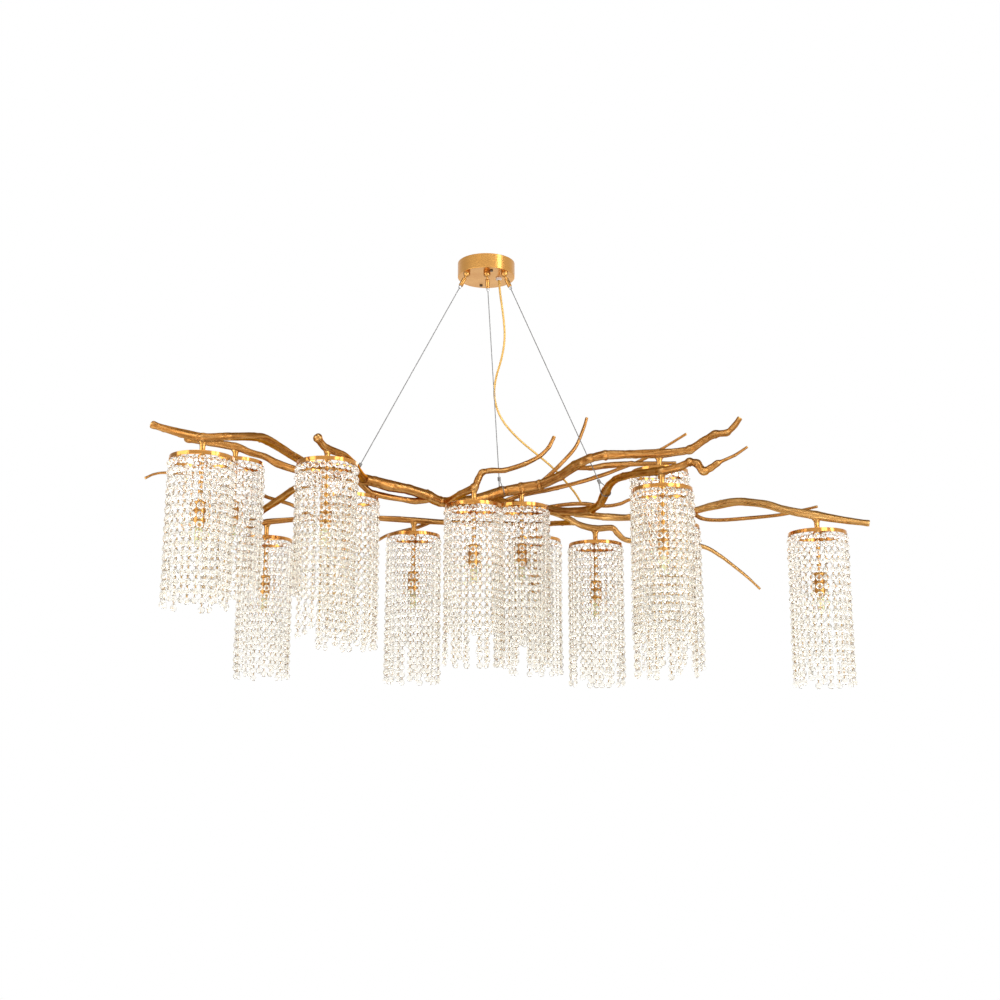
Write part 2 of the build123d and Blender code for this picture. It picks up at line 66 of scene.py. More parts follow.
# Shades, as the CAD model has them
RING_R = 60.0 * MM
RING_H = 8.0 * MM
RING_WALL = 1.6 * MM
STRAP_W = 10.0 * MM
STRAP_T = 3.0 * MM
HUB_R = 10.0 * MM
HUB_PROUD = 0.1 * MM
ROD_R = 4.7 * MM
STEM_R = 5.5 * MM
SHOULDER_R = 8.0 * MM
SHOULDER_T = 4.0 * MM
RUNNING_GAP = 0.3 * MM
ROD_BELOW_RING = 84.0 * MM
ROD_IN_HOLDER = 8.0 * MM
HOLDER_R = 12.5 * MM
HOLDER_H = 48.0 * MM
HOLDER_RECESS = 12.0 * MM
HOLDER_RIBS = 6
BULB_R = 7.5 * MM
BULB_FOOT_SHARE = 0.86
BULB_OUT = 38.0 * MM
STRANDS = 26
STRAND_SWAY = 2.2 * MM
BEAD_PITCH = 17.4 * MM

# Beads: octagons cut on both sides, joined by small wire links
BEAD_R = 7.1 * MM
BEAD_MID_R = 5.3 * MM
BEAD_TABLE_R = 2.9 * MM
BEAD_HALF_T = 3.8 * MM
BEAD_MID_T = 2.6 * MM
BEAD_EDGE_T = 0.7 * MM
STRAND_TWIST = 0.35
BEAD_TWIST = 0.45
LINK_R = 3.4 * MM
LINK_NARROW = 0.45
LINK_WIRE_R = 0.65 * MM
LINK_TURNS = 10
LINK_SIDES = 5

# Sides of the round forms
RING_SIDES = 96
HUB_SIDES = 40
STEM_SIDES = 28
HOLDER_SIDES = 40
BULB_SIDES = 32
CORD_SIDES = 16
GLAND_SIDES = 32
GRIPPER_SIDES = 36

# Power cord: the points of its route in the CAD model, and the gland that it leaves
CORD_R = 2.5 * MM
CORD_ROUTE = (
    (28, 2, -24), (30, 5, -62), (38, 14, -112), (43, 24, -165), (35, 34, -213), (20, 45, -257),
    (17, 55, -300), (33, 68, -345), (72, 84, -386), (117, 100, -419), (155, 114, -448),
    (186, 130, -480), (207, 143, -503), (217, 150, -521),
)
CANOPY_FLOOR = -33.0 * MM
GLAND_R = 5.0 * MM
GLAND_FLANGE_R = 7.0 * MM
GLAND_FLANGE_T = 5.0 * MM

# Swivel grippers: where their balls are, and their turned profiles in millimetres, the outside of
# a cup as (radius, height over the ball), neck and barrel as (radius, distance down the wire)
BALL_R = 6.0 * MM
SWING_Y = -35.0 * MM
SWING_Z = -40.0 * MM
GRIPPERS = {"left": -43, "middle": 2, "right": 41}
CUP_OUTSIDE = (
    (8.0, 7.0), (8.0, 5.4), (7.4, 5.0), (7.4, 4.6), (7.9, 4.2), (7.9, 2.2), (7.5, -0.4),
    (6.9, -2.2), (6.2, -3.1), (5.7, -3.2),
)
BARREL = (
    (2.5, 5.6), (2.5, 9.3), (3.4, 9.7), (4.4, 10.0), (5.0, 10.8), (5.0, 13.4), (4.5, 13.8),
    (4.5, 14.4), (5.0, 14.8), (5.0, 25.0), (4.6, 25.4), (4.6, 25.8), (5.0, 26.2), (5.0, 27.0),
    (4.6, 27.4), (4.6, 27.8), (5.0, 28.2), (5.0, 29.4), (4.5, 30.0), (3.8, 30.0), (3.5, 29.7),
    (3.5, 18.7), (1.2, 18.7),
)

# Limbs and twigs: which ends grow out of another limb, and the points of the CAD model's runs,
# each with its thickness, in millimetres
LIMBS = {
    "trunk_left": (
        "both",
        (-335, -92, -503, 19), (-307, -90, -508, 22), (-276, -86, -517, 26), (-234, -75, -522, 22),
        (-203, -60, -527, 24), (-162, -45, -532, 21), (-120, -25, -543, 23), (-97, -10, -550, 22),
        (-60, 8, -550, 20),
    ),
    "trunk_right": (
        "start",
        (-75, 2, -551, 18), (-40, 20, -542, 21), (-2, 40, -529, 22), (35, 61.5, -513, 23),
        (79, 70, -504, 25), (120, 60, -497, 22), (163, 22, -486, 20), (194, -20, -473, 21),
        (224, -52, -465, 18), (255, -70, -462, 20), (306, -92, -466, 17), (366, -105, -468, 20),
        (398, -115, -467, 16), (429, -125, -464, 17), (460, -130, -444, 14), (480, -135, -433, 15),
        (505, -140, -431, 13), (521, -145, -416, 12), (531, -150, -402, 10),
    ),
    "trunk_low": (
        "both",
        (-5, 40, -531, 17), (42, 112, -526, 18), (88, 150, -526, 18), (134, 150, -533, 19),
        (166, 120, -544, 18), (198, 90, -552, 19), (236, 58, -555, 17),
    ),
    "left_upper": (
        "end",
        (-627, -400, -486, 13), (-582, -405, -501, 15), (-525, -420, -517, 18),
        (-482, -402, -510, 15), (-441, -350, -496, 16), (-423, -310, -492, 19),
        (-399, -260, -499, 17), (-366, -200, -510, 17), (-325, -145, -515, 16),
        (-294, -95, -513, 16),
    ),
    "left_lower": (
        "end",
        (-636, -80, -429, 12), (-585, -85, -439, 14), (-530, -85, -448, 17), (-499, -84, -460, 14),
        (-468, -82, -469, 14), (-440, -84, -484, 16), (-395, -92, -500, 15), (-350, -93, -503, 15),
        (-325, -92, -504, 15),
    ),
    "left_second": (
        "both",
        (-266, -84, -522, 12), (-250, -72, -538, 12), (-235, -62, -545, 14), (-183, -40, -551, 12),
        (-150, -28, -553, 13), (-120, -22, -546, 12),
    ),
    "left_fork": (
        "both",
        (-300, -84, -510, 15), (-355, -40, -511, 14), (-416, 10, -517, 15), (-458, 60, -530, 16),
        (-503, 115, -542, 15), (-532, 165, -550, 14), (-545, 200, -559, 13),
    ),
    "front_stub": (
        "end",
        (-330, -285, -479, 13), (-321, -275, -491, 14), (-312, -262, -497, 16),
        (-285, -222, -500, 14), (-270, -180, -506, 14), (-262, -130, -514, 15),
        (-256, -88, -518, 15),
    ),
    "back_bar": (
        "end",
        (-556, 204, -564, 12), (-507, 195, -554, 14), (-445, 182, -551, 12), (-347, 172, -547, 13),
        (-253, 168, -550, 12), (-166, 170, -555, 14), (-98, 192, -555, 12), (31, 255, -547, 13),
        (115, 295, -541, 14), (160, 240, -548, 12), (190, 175, -560, 12), (198, 142, -564, 12),
    ),
    "centre_twig": (
        "start",
        (-84, 0, -551, 15), (-54, -55, -544, 15), (-24, -85, -536, 16), (-14, -86, -516, 14),
        (-6, -86, -503, 13), (14, -85, -499, 12), (42, -80, -497, 11), (84, -75, -482, 10),
        (116, -70, -464, 9), (136, -68, -443, 8), (147, -65, -420, 7),
    ),
    "right_thin": (
        "start",
        (46, 114, -521, 9), (80, 112, -509, 9), (145, 92, -500, 10), (209, 72, -488, 9),
        (257, 52, -477, 9), (290, 40, -467, 8), (339, 25, -451, 7), (387, 15, -426, 6),
        (440, 5, -395, 5),
    ),
    "right_zigzag": (
        "start",
        (228, 66, -555, 14), (249, 12, -550, 17), (258, -30, -533, 20), (264, -56, -524, 16),
        (273, -92, -521, 15), (287, -138, -525, 16), (314, -195, -532, 15), (352, -258, -542, 17),
        (386, -275, -538, 14), (405, -280, -529, 15), (419, -283, -533, 14), (429, -287, -549, 14),
        (445, -290, -543, 13), (458, -293, -534, 12), (466, -293.8, -530.5, 6.5),
        (492, -296, -519, 6), (516, -298, -503, 5),
    ),
    "right_low": (
        "start",
        (138, 148, -535, 13), (178, 141, -553, 14), (212, 142, -571, 13), (247, 145, -579, 15),
        (285, 148, -577, 13), (299, 152, -590, 13), (322, 158, -604, 12), (395, 176, -604, 11),
        (490, 176, -614, 10), (534, 180, -636, 8), (567, 183, -661, 7), (597, 185, -686, 6),
        (623, 187, -711, 5),
    ),
    "right_long": (
        "start",
        (198, 90, -554, 14), (236, 88, -561, 15), (271, 77, -567, 16), (320, 76, -568, 14),
        (367, 82, -560, 15), (414, 85, -555, 17), (461, 65, -555, 15), (493, 45, -550, 17),
        (532, 15, -547, 18), (561, -5, -550, 16), (599, -35, -562, 17), (634, -65, -580, 16),
        (692, -100, -600, 18), (756, -120, -615, 14), (793, -130, -622, 12),
    ),
}
TWIGS = {
    "upright_twig": (
        "start",
        (118, 62, -497, 10), (140, 63, -475, 9), (165, 65, -450, 9), (199, 70, -410, 8),
        (218, 75, -367, 7), (227, 78, -338, 6),
    ),
    "lens_twig": (
        "start",
        (188, -13, -475, 9), (229, 20, -468, 11), (261, 12, -465, 13), (304, 2, -464, 12),
        (352, -15, -467, 10), (410, -34, -470, 6),
    ),
    "long_tip": (
        "start",
        (455, 68, -555, 8), (474, 42, -577, 8), (511, 25, -584, 8), (574, 10, -582, 8),
        (637, -20, -581, 7), (677, -45, -576, 6), (704, -60, -572, 5),
    ),
    "cord_twig": (
        "start",
        (138, 151, -531, 9), (165, 152, -524, 8), (195, 150, -521, 9), (225, 150, -521, 9),
        (273, 150, -526, 8), (305, 150, -521, 8), (325, 150, -512, 7), (362, 146, -501, 6),
    ),
    "far_left_twig": (
        "start",
        (-398, 177, -548, 8), (-438, 148, -526, 8), (-468, 116, -521, 8), (-494, 80, -518, 8),
        (-540, 30, -500, 7), (-598, 0, -490, 7), (-683, -30, -491, 6), (-712, -35, -495, 5),
        (-731, -40, -505, 5),
    ),
    "back_twig": (
        "start",
        (-130, 182, -556, 8), (-161, 198, -567, 8), (-194, 214, -571, 7), (-230, 225, -579, 7),
        (-252, 230, -590, 6),
    ),
}
LIMB_STEP = 1.9
LIMB_SIDES = 28

# How softly a limb bends at its points: most flow, some have straighter runs and full knuckles
SOFT_BEND = 0.47
CRISP_BENDS = {"trunk_left": 0.38, "trunk_right": 0.28, "centre_twig": 0.36, "right_zigzag": 0.25}
SOFT_KNUCKLE = 0.4
KNUCKLE_RISE = 0.06
KNUCKLE_RISE_BY_TURN = 0.22
KNUCKLE_FULL_TURN = 0.8
KNUCKLE_WIDTH = (0.0035, 0.0065)
GROOVE_DEPTH = 0.5
GROOVE_AWAY = 1.7
GROOVE_WIDTH = 0.4

# Bud scars: where the first one sits, and their spacing, height and size
BUD_FIRST = (0.02, 0.06)
BUD_SPACING = (0.03, 0.08)
BUD_HEIGHT = (0.10, 0.24)
BUD_SIZE = (0.0028, 0.005)

# Skin of the limbs: flats as (number round the limb, depth), lumps, and ridges along the limb, each
# as a share of the radius, and how the material's grain is stretched
FLATS = (3, 0.050), (5, 0.035)
LUMPS = 0.10
RIDGES = 0.045
FINE_RIDGES = 0.015
GRAIN_ALONG = 30.0
GRAIN_ROUND = 2.0

# Ends: how far they swell, and the rows of a free end as (share of the rim, rise)
ROOT_SWELL = 0.3
ROOT_FADE = 0.010
FREE_END_SWELL = 0.12
KNOB_ENDS = {"front_stub": 0.45, "left_upper": 0.22, "left_lower": 0.25, "right_zigzag": 0.0}
KNOB_PLACE = 0.003
KNOB_WIDTH = 0.006
SAWN_END = ((0.90, 0.0009), (0.72, 0.0007), (0.30, 0.0))
ROUND_END = ((0.95, 0.0016), (0.80, 0.0034), (0.55, 0.0050), (0.25, 0.0057))
ROUND_ENDED = ("front_stub", "left_lower")


# Materials

# Sockets of a colour mix: the factor and both colours, and the result
MIX_INPUTS = (0, 6, 7)
MIX_RESULT = 2


class Shader:
    """A new material's node tree, with short ways to add and join its nodes."""

    def __init__(self, name):
        self.material = bpy.data.materials.new(name)
        self.material.use_nodes = True
        self.tree = self.material.node_tree
        self.bsdf = self.tree.nodes["Principled BSDF"]

    def add(self, kind, **settings):
        node = self.tree.nodes.new(kind)
        for key, value in settings.items():
            setattr(node, key, value)
        return node

    def join(self, source, target):
        self.tree.links.new(source, target)

    def feed(self, socket, value):
        """Joins another node's output to a socket, or sets the socket to a number or a colour."""
        if isinstance(value, bpy.types.NodeSocket):
            self.join(value, socket)
        elif isinstance(value, tuple):
            socket.default_value = (*value[:3], 1)
        else:
            socket.default_value = value

    def put(self, **sockets):
        """Feeds the shader's own sockets."""
        for name, value in sockets.items():
            self.feed(self.bsdf.inputs[name.replace("_", " ")], value)

    def coordinates(self, scale=(1, 1, 1), attribute=None):
        """Object coordinates, or a named attribute of the mesh, stretched by scale."""
        mapping = self.add("ShaderNodeMapping")
        mapping.inputs["Scale"].default_value = scale
        if attribute:
            source = self.add("ShaderNodeAttribute", attribute_name=attribute).outputs["Vector"]
        else:
            source = self.add("ShaderNodeTexCoord").outputs["Object"]
        self.join(source, mapping.inputs["Vector"])
        return mapping.outputs["Vector"]

    def noise(self, vector, scale, detail=4.0, roughness=0.55):
        node = self.add("ShaderNodeTexNoise")
        node.inputs["Scale"].default_value = scale
        node.inputs["Detail"].default_value = detail
        node.inputs["Roughness"].default_value = roughness
        self.join(vector, node.inputs["Vector"])
        return node.outputs["Fac"]

    def ramp(self, fac, *stops):
        """A colour ramp through (position, colour) stops; a plain number is a grey."""
        node = self.add("ShaderNodeValToRGB")
        while len(node.color_ramp.elements) < len(stops):
            node.color_ramp.elements.new(0.5)
        for element, (place, colour) in zip(node.color_ramp.elements, stops):
            element.position = place
            grey = isinstance(colour, (int, float))
            element.color = (colour, colour, colour, 1) if grey else (*colour, 1)
        self.join(fac, node.inputs["Fac"])
        return node.outputs["Color"]

    def mix(self, fac, first, second, blend="MIX"):
        node = self.add("ShaderNodeMix", data_type="RGBA", blend_type=blend)
        for index, value in zip(MIX_INPUTS, (fac, first, second)):
            self.feed(node.inputs[index], value)
        return node.outputs[MIX_RESULT]

    def bump(self, height, strength, distance, normal=None):
        node = self.add("ShaderNodeBump")
        node.inputs["Strength"].default_value = strength
        node.inputs["Distance"].default_value = distance
        self.join(height, node.inputs["Height"])
        if normal:
            self.join(normal, node.inputs["Normal"])
        return node.outputs["Normal"]


STREAK_STOPS = (0.30, 0.46, 0.62, 0.76)


def cast_gold(name, *tones):
    """Satin gold over a casting: soft streaks along the limb, from the deepest tone to the palest,
    painted shade with some patina darkening the sunken parts, and pale worn ridges."""
    s = Shader(name)
    s.put(Metallic=1.0, Specular_Tint=(0.70, 0.42, 0.18, 1))
    grain = s.coordinates(attribute="grain")
    streaks = s.noise(grain, 1.6, 6.0, 0.6)
    patches = s.noise(s.coordinates(), 24.0, 3.0)
    colour = s.ramp(streaks, *zip(STREAK_STOPS, tones))
    stain = s.ramp(patches, (0.34, (0.74, 0.68, 0.60)), (0.64, (1.0, 1.0, 1.0)))
    colour = s.mix(1.0, colour, stain, "MULTIPLY")
    edges = s.add("ShaderNodeNewGeometry").outputs["Pointiness"]
    # Painted shade, with some patina: the sunken parts are darkened where shade would fall in creases
    sunken_shade_and_patina = s.ramp(edges, (0.43, (0.30, 0.21, 0.13)), (0.50, (1.0, 1.0, 1.0)))
    colour = s.mix(0.9, colour, sunken_shade_and_patina, "MULTIPLY")
    ridges = s.ramp(edges, (0.515, 0.0), (0.575, 1.0))
    colour = s.mix(ridges, colour, (0.86, 0.54, 0.21))
    fine = s.noise(grain, 7.0, 5.0, 0.7)
    pits = s.noise(s.coordinates(), 420.0, 2.0)
    normal = s.bump(pits, 0.03, 0.0003, s.bump(fine, 0.035, 0.0010))
    s.put(Base_Color=colour, Roughness=s.ramp(streaks, (0.3, 0.44), (0.7, 0.31)), Normal=normal)
    return s.material


def brushed_gold(name, pale, deep, scale, roughness):
    """Gold plate with fine brush lines."""
    s = Shader(name)
    s.put(Metallic=1.0)
    lines = s.noise(s.coordinates(scale), 1.0, 6.0, 0.7)
    cloud = s.noise(s.coordinates(), 18.0, 2.0)
    colour = s.ramp(lines, (0.3, deep), (0.7, pale))
    shade = s.ramp(cloud, (0.35, (0.86, 0.84, 0.80)), (0.65, (1.0, 1.0, 1.0)))
    s.put(
        Base_Color=s.mix(0.5, colour, shade, "MULTIPLY"),
        Roughness=s.ramp(lines, (0.3, roughness + 0.06), (0.7, roughness - 0.06)),
        Normal=s.bump(lines, 0.012, 0.0002),
    )
    return s.material


def cut_glass():
    """Cut glass with a faint champagne tint and the unevenness of its pressing."""
    s = Shader("cut_glass")
    s.put(Base_Color=(0.988, 0.961, 0.898, 1), Roughness=0.02, IOR=1.47, Transmission_Weight=1.0)
    s.put(Normal=s.bump(s.noise(s.coordinates(), 260.0, 2.0), 0.08, 0.0004))
    return s.material


def clouded(name, stretch, scale, low, high, bump, **sockets):
    """Plastic or frosted glass whose colour drifts between two tones."""
    s = Shader(name)
    clouds = s.noise(s.coordinates(stretch), scale, 3.0)
    colour = s.ramp(clouds, (0.3, low), (0.7, high))
    s.put(Base_Color=colour, Normal=s.bump(clouds, *bump), **sockets)
    return s.material


def metal(name, dark, light, roughness):
    """Turned, drawn or plated metal with faint scuffs."""
    s = Shader(name)
    s.put(Metallic=1.0)
    scuffs = s.noise(s.coordinates((1, 1, 2.5)), 140.0, 5.0, 0.65)
    s.put(
        Base_Color=s.ramp(scuffs, (0.3, dark), (0.7, light)),
        Roughness=s.ramp(scuffs, (0.3, roughness + 0.08), (0.7, roughness - 0.05)),
        Normal=s.bump(scuffs, 0.08, 0.0003),
    )
    return s.material


CAST_GOLD = cast_gold(
    "cast_gold",
    (0.31, 0.115, 0.019), (0.45, 0.190, 0.044), (0.56, 0.265, 0.074), (0.70, 0.395, 0.145),
)
# A lit copy of the cast gold: its paler tones paint on the stronger light that falls on the limbs at
# the right
LIT_CAST_GOLD = cast_gold(
    "painted_lit_cast_gold",
    (0.46, 0.215, 0.050), (0.64, 0.340, 0.105), (0.74, 0.430, 0.155), (0.84, 0.550, 0.240),
)
LIT_LIMBS = ("right_long", "right_low")
RING_GOLD = brushed_gold(
    "ring_gold", (0.69, 0.335, 0.092), (0.52, 0.215, 0.042), (60, 60, 900), 0.15
)
CANOPY_GOLD = brushed_gold(
    "canopy_gold", (0.78, 0.41, 0.118), (0.66, 0.31, 0.072), (14, 14, 1300), 0.27
)
TURNED_GOLD = metal("turned_gold", (0.42, 0.185, 0.036), (0.68, 0.37, 0.115), 0.18)
LINK_GOLD = metal("link_gold", (0.30, 0.16, 0.045), (0.60, 0.39, 0.15), 0.22)
CUT_GLASS = cut_glass()
BULB_GLASS = clouded(
    "frosted_bulb", (1, 1, 1), 300.0, (0.96, 0.78, 0.44), (0.98, 0.87, 0.62), (0.06, 0.0003),
    Roughness=0.35, Subsurface_Weight=0.3, Coat_Weight=0.4,
)
STEEL_WIRE = metal("steel_wire", (0.17, 0.165, 0.16), (0.27, 0.265, 0.26), 0.38)
BRIGHT_STEEL = metal("bright_steel", (0.42, 0.41, 0.40), (0.62, 0.61, 0.60), 0.28)
ZINC = metal("zinc", (0.50, 0.51, 0.53), (0.70, 0.71, 0.72), 0.38)
DARK_METAL = metal("dark_metal", (0.07, 0.055, 0.04), (0.16, 0.12, 0.08), 0.36)
AMBER = clouded(
    "amber_sheath", (1, 1, 0.35), 90.0, (0.70, 0.38, 0.060), (0.80, 0.49, 0.095), (0.03, 0.0003),
    Roughness=0.26, Metallic=0.2, Coat_Weight=0.5, Coat_Roughness=0.1,
)
WHITE_NYLON = clouded(
    "white_nylon", (1, 1, 1), 500.0, (0.80, 0.77, 0.74), (0.88, 0.86, 0.83), (0.1, 0.0002),
    Roughness=0.45, Coat_Weight=0.1,
)
BLUSH_NYLON = clouded(
    "blush_nylon", (1, 1, 1), 500.0, (0.80, 0.70, 0.64), (0.90, 0.82, 0.76), (0.1, 0.0002),
    Roughness=0.45, Coat_Weight=0.1,
)


# Shapes


def quads(first, second, sides, flip=False):
    """Faces between two rings of points, given by the rings' first points."""
    faces = []
    for k in range(sides):
        after = (k + 1) % sides
        face = (first + k, first + after, second + after, second + k)
        faces.append((face[0], *face[:0:-1]) if flip else face)
    return faces


class Shape:
    """Points and faces that several simple forms add up to."""

    def __init__(self):
        self.points = []
        self.faces = []

    def add(self, points, faces):
        start = len(self.points)
        self.points.extend(points)
        self.faces.extend(tuple(start + index for index in face) for face in faces)

    def lathe(self, profile, origin, way, sides, closed=False, side=None):
        """A form about an axis: rows of (radius, distance), or of (reach along the side, reach
        across it, distance) for an oval, with faces that look outward when distances fall."""
        way = way.normalized()
        side = side or way.orthogonal()
        side = (side - way * side.dot(way)).normalized()
        across = way.cross(side)
        points, faces = [], []
        for *reach, distance in profile:
            for k in range(sides):
                angle = 2 * math.pi * k / sides
                out = side * reach[0] * math.cos(angle) + across * reach[-1] * math.sin(angle)
                points.append(origin + way * distance + out)
        rows = len(profile)
        for row in range(rows if closed else rows - 1):
            faces += quads(row * sides, (row + 1) % rows * sides, sides, flip=True)
        if not closed:
            faces.append(tuple(range(sides)))
            faces.append(tuple(reversed(range((rows - 1) * sides, rows * sides))))
        self.add(points, faces)

    def turned(self, profile, axis, sides, closed=False, side=None):
        """A form about an upright axis, its rows given from top to bottom by their heights."""
        self.lathe(profile, Vector((axis.x, axis.y, 0)), Vector((0, 0, 1)), sides, closed, side)

    def tube(self, path, radius, sides):
        """A round tube along a path, closed at both ends."""
        points, faces = [], []
        last = len(path) - 1
        side = Vector((1, 0, 0))
        for index, spot in enumerate(path):
            way = (path[min(index + 1, last)] - path[max(index - 1, 0)]).normalized()
            side = (side - way * side.dot(way)).normalized()
            across = way.cross(side)
            for k in range(sides):
                angle = 2 * math.pi * k / sides
                points.append(spot + (side * math.cos(angle) + across * math.sin(angle)) * radius)
        for row in range(last):
            faces += quads(row * sides, (row + 1) * sides, sides)
        faces.append(tuple(reversed(range(sides))))
        faces.append(tuple(range(last * sides, (last + 1) * sides)))
        self.add(points, faces)

    def piece(self, name, material, slot, body=None, sharp=None):
        """A new piece, flat, or smooth up to edges sharper than an angle in degrees."""
        mesh = bpy.data.meshes.new(name)
        mesh.from_pydata(self.points, [], self.faces)
        mesh.update()
        mesh.materials.append(material)
        if sharp:
            mesh.shade_smooth()
            mesh.set_sharp_from_angle(angle=math.radians(sharp))
        piece = bpy.data.objects.new(name, mesh)
        bpy.context.scene.collection.objects.link(piece)
        if body:
            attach(piece, body)
        return piece


# Branch frame


def smooth_run(points, step, bend):
    """Close points on a curve through the given ones, thickness included, and the chosen
    points' places among them; the smaller the bend share, the straighter the runs between."""
    ends = (points[0], *points, points[-1])
    run, marks = [], [0]
    for before, start, end, after in zip(ends, ends[1:], ends[2:], ends[3:]):
        count = max(2, round(math.dist(start[:3], end[:3]) / step))
        for k in range(count):
            t = k / count
            fade = (1 - t) ** 2
            place = []
            for a, b, c, d in zip(before, start, end, after):
                way_in, way_out = bend * (c - a), bend * (d - b)
                ends_part = b * fade * (1 + 2 * t) + c * t * t * (3 - 2 * t)
                place.append(ends_part + way_in * t * fade - way_out * t * t * (1 - t))
            run.append(place)
        marks.append(len(run))
    run.append(list(points[-1]))
    return run, marks


def bell(distance, width):
    return math.exp(-((distance / width) ** 2))


class Limb:
    """A knuckled limb grown along its run."""

    def __init__(self, name, row, seed):
        rooted, *points = row
        self.random = random.Random(seed)
        self.offset = Vector((seed * 3.7, seed * 1.3, seed * 2.1))
        self.knuckle_share = 1.0 if name in CRISP_BENDS else SOFT_KNUCKLE
        self.end_swell = KNOB_ENDS.get(name, FREE_END_SWELL)
        self.end_rows = ROUND_END if name in ROUND_ENDED else SAWN_END
        run, marks = smooth_run(points, LIMB_STEP, CRISP_BENDS.get(name, SOFT_BEND))
        self.spots = [Vector(place[:3]) * MM for place in run]
        self.radii = [place[3] / 2 * MM for place in run]
        self.along = [0.0]
        for before, after in zip(self.spots, self.spots[1:]):
            self.along.append(self.along[-1] + (after - before).length)
        self.length = self.along[-1]
        self.rooted_start = rooted in ("start", "both")
        self.rooted_end = rooted in ("end", "both")
        self.knots = self.knuckles(marks)
        self.buds = self.bud_places()
        self.points, self.faces, self.grain = [], [], []

    def knuckles(self, marks):
        """Where the limb swells, at its bends: (distance, height, width, side of its groove)."""
        knots = []
        for before, mark, after in zip(marks, marks[1:], marks[2:]):
            come = self.spots[mark] - self.spots[before]
            go = self.spots[after] - self.spots[mark]
            rise = self.random.uniform(0.0, KNUCKLE_RISE)
            rise += KNUCKLE_RISE_BY_TURN * min(come.angle(go), KNUCKLE_FULL_TURN)
            height = self.knuckle_share * rise
            width = self.random.uniform(*KNUCKLE_WIDTH)
            knots.append((self.along[mark], height, width, self.random.choice((-1, 1))))
        return knots

    def bud_places(self):
        """Small bud scars: (distance, angle round the limb, height, size)."""
        buds = []
        place = self.random.uniform(*BUD_FIRST)
        while place < self.length - 0.01:
            turn = self.random.uniform(0, 2 * math.pi)
            height = self.random.uniform(*BUD_HEIGHT)
            size = self.random.uniform(*BUD_SIZE)
            buds.append((place, turn, height, size))
            place += self.random.uniform(*BUD_SPACING)
        return buds

    def swelling(self, along):
        """How the knuckles, with a groove beside each, and the ends change the limb's thickness."""
        size = 1.0
        for place, height, width, groove in self.knots:
            away = along - place
            from_groove = away - groove * GROOVE_AWAY * width
            dip = GROOVE_DEPTH * height * bell(from_groove, GROOVE_WIDTH * width)
            size += height * bell(away, width) - dip
        ends = ((self.rooted_start, along), (self.rooted_end, self.length - along))
        for rooted, distance in ends:
            if rooted:
                size += ROOT_SWELL * math.exp(-max(distance - ROOT_FADE, 0) / ROOT_FADE)
            else:
                size += self.end_swell * bell(distance - KNOB_PLACE, KNOB_WIDTH)
        return size

    def bud_lift(self, index, angle):
        """How far the bud scars raise the skin at this angle."""
        lift = 0.0
        for place, turn, height, width in self.buds:
            away = self.along[index] - place
            if abs(away) < 3 * width:
                round_away = math.remainder(angle - turn, 2 * math.pi) * self.radii[index]
                lift += height * bell(away, width) * bell(round_away, 0.8 * width)
        return lift

    def reach(self, index, angle, out):
        """How far the skin stands from the axis: flats that wander round it, lumps and ridges."""
        along = self.along[index]
        drift = 3.0 * noise.noise(Vector((along * 9.0, 0.5, 0.5)) + self.offset)
        turn = 2.4 * noise.noise(Vector((along * 13.0, 4.5, 0.5)) + self.offset)
        (few, deep), (many, shallow) = FLATS
        size = 1.0 + deep * math.cos(few * angle + drift) + shallow * math.cos(many * angle - turn)
        size += LUMPS * noise.noise(self.spots[index] * 30.0 + out * 0.9 + self.offset)
        coarse = Vector((along * 30.0, out.y * 2.6, out.z * 2.6 + out.x))
        fine = Vector((along * 80.0, out.y * 6.0, out.z * 6.0 + out.x))
        size += RIDGES * noise.noise(coarse + self.offset)
        size += FINE_RIDGES * noise.noise(fine - self.offset)
        return self.radii[index] * (size + self.bud_lift(index, angle)) * self.swelling(along)

    def grow(self):
        """Rings of points along the run, each joined to the one before, and the two ends."""
        row = 0
        side = Vector((0, 0, 1))
        for index, spot in enumerate(self.spots):
            way = self.way(index)
            side = (side - way * side.dot(way)).normalized()
            across = way.cross(side)
            new_row = len(self.points)
            for k in range(LIMB_SIDES):
                angle = 2 * math.pi * k / LIMB_SIDES
                right, up = math.cos(angle), math.sin(angle)
                out = side * right + across * up
                self.points.append(spot + out * self.reach(index, angle, out))
                stretched = (self.along[index] * GRAIN_ALONG, right * GRAIN_ROUND, up * GRAIN_ROUND)
                self.grain.append(stretched)
            if index == 0:
                self.cut_end(spot, way, row, forward=False)
            else:
                self.faces += quads(row, new_row, LIMB_SIDES)
                row = new_row
        self.cut_end(spot, way, row, forward=True)

    def way(self, index):
        last = len(self.spots) - 1
        return (self.spots[min(index + 1, last)] - self.spots[max(index - 1, 0)]).normalized()

    def cut_end(self, spot, way, rim, forward):
        """The end: a worn rim, then a sawn face that is slightly hollow, or a round knob."""
        outward = way if forward else -way
        row = rim
        for share, rise in self.end_rows:
            inner = len(self.points)
            for k in range(LIMB_SIDES):
                self.points.append(spot + (self.points[rim + k] - spot) * share + outward * rise)
                self.grain.append(self.grain[rim + k])
            first, second = (row, inner) if forward else (inner, row)
            self.faces += quads(first, second, LIMB_SIDES)
            row = inner
        face = range(row, row + LIMB_SIDES)
        self.faces.append(tuple(face) if forward else tuple(reversed(face)))


def limb_piece(replaced, limbs):
    """One piece from one or several limbs, with the grain's direction kept for the material."""
    shape, grain = Shape(), []
    for limb in limbs:
        limb.grow()
        shape.add(limb.points, limb.faces)
        grain.extend(limb.grain)
    # The limbs at the right take the lit copy, whose paler tones are painted light
    finish = LIT_CAST_GOLD if replaced in LIT_LIMBS else CAST_GOLD
    piece = shape.piece(f"{replaced}_cast", finish, "gold_casting", "frame", sharp=60)
    field = piece.data.attributes.new("grain", "FLOAT_VECTOR", "POINT")
    field.data.foreach_set("vector", [value for vector in grain for value in vector])
    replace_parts(piece, replaced)


